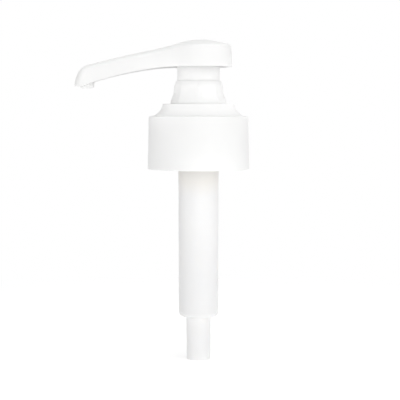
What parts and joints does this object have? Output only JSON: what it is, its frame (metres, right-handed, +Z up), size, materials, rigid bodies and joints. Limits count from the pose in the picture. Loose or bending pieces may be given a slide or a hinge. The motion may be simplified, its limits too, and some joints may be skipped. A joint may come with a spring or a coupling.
{
  "type": "syrup pump",
  "caption": "White plastic syrup pump with a lock-down head, long curved spout, ribbed collar, screw cap and straight barrel for a bottle neck.",
  "frame": {"origin": "on the pump's axis, in the plane where the bottle's lip meets the neck gasket", "axes": "+Z up along the pump's axis, the spout points along -X"},
  "size_m": [0.077, 0.0444, 0.1404],
  "materials": {
    "white_moulding": "semi-gloss",
    "barrel_moulding": "semi-gloss, milky",
    "inner_moulding": "satin, natural",
    "seal_elastomer": "matte, soft",
    "stainless_steel": "bright drawn"
  },
  "bodies": {
    "pump_engine": {"pump_barrel": "barrel_moulding", "locking_collar": "white_moulding", "stem_guide": "inner_moulding", "stem_wiper": "seal_elastomer", "neck_gasket": "seal_elastomer", "inlet_ball_cage": "inner_moulding", "return_spring": "stainless_steel"},
    "screw_cap": {"outer_cap": "white_moulding", "threaded_closure": "white_moulding"},
    "piston": {"piston_core": "inner_moulding", "piston_retainer": "inner_moulding", "piston_seal": "seal_elastomer"},
    "head": {"pump_head": "white_moulding", "spout_tube": "white_moulding", "nozzle_tip": "white_moulding", "lock_hub": "white_moulding", "plunger_stem": "inner_moulding", "outlet_ball_retainer": "inner_moulding"},
    "outlet_valve": {"outlet_ball": "stainless_steel"},
    "inlet_valve": {"inlet_ball": "stainless_steel"}
  },
  "joints": [
    {"name": "cap_spin", "type": "hinge", "parent": "pump_engine", "child": "screw_cap", "pos_m": [0, 0, 0], "axis": [0, 0, 1], "continuous": true},
    {"name": "plunger_slide", "type": "slide", "parent": "pump_engine", "child": "piston", "axis": [0, 0, 1], "range_m": [0, 0.052], "deforming": ["return_spring"]},
    {"name": "head_turn", "type": "hinge", "parent": "piston", "child": "head", "pos_m": [0, 0, 0], "axis": [0, 0, 1], "continuous": true},
    {"name": "outlet_ball_lift", "type": "slide", "parent": "head", "child": "outlet_valve", "axis": [0, 0, 1], "range_m": [0, 0.002]},
    {"name": "inlet_ball_lift", "type": "slide", "parent": "pump_engine", "child": "inlet_valve", "axis": [0, 0, 1], "range_m": [0, 0.0025]}
  ]
}
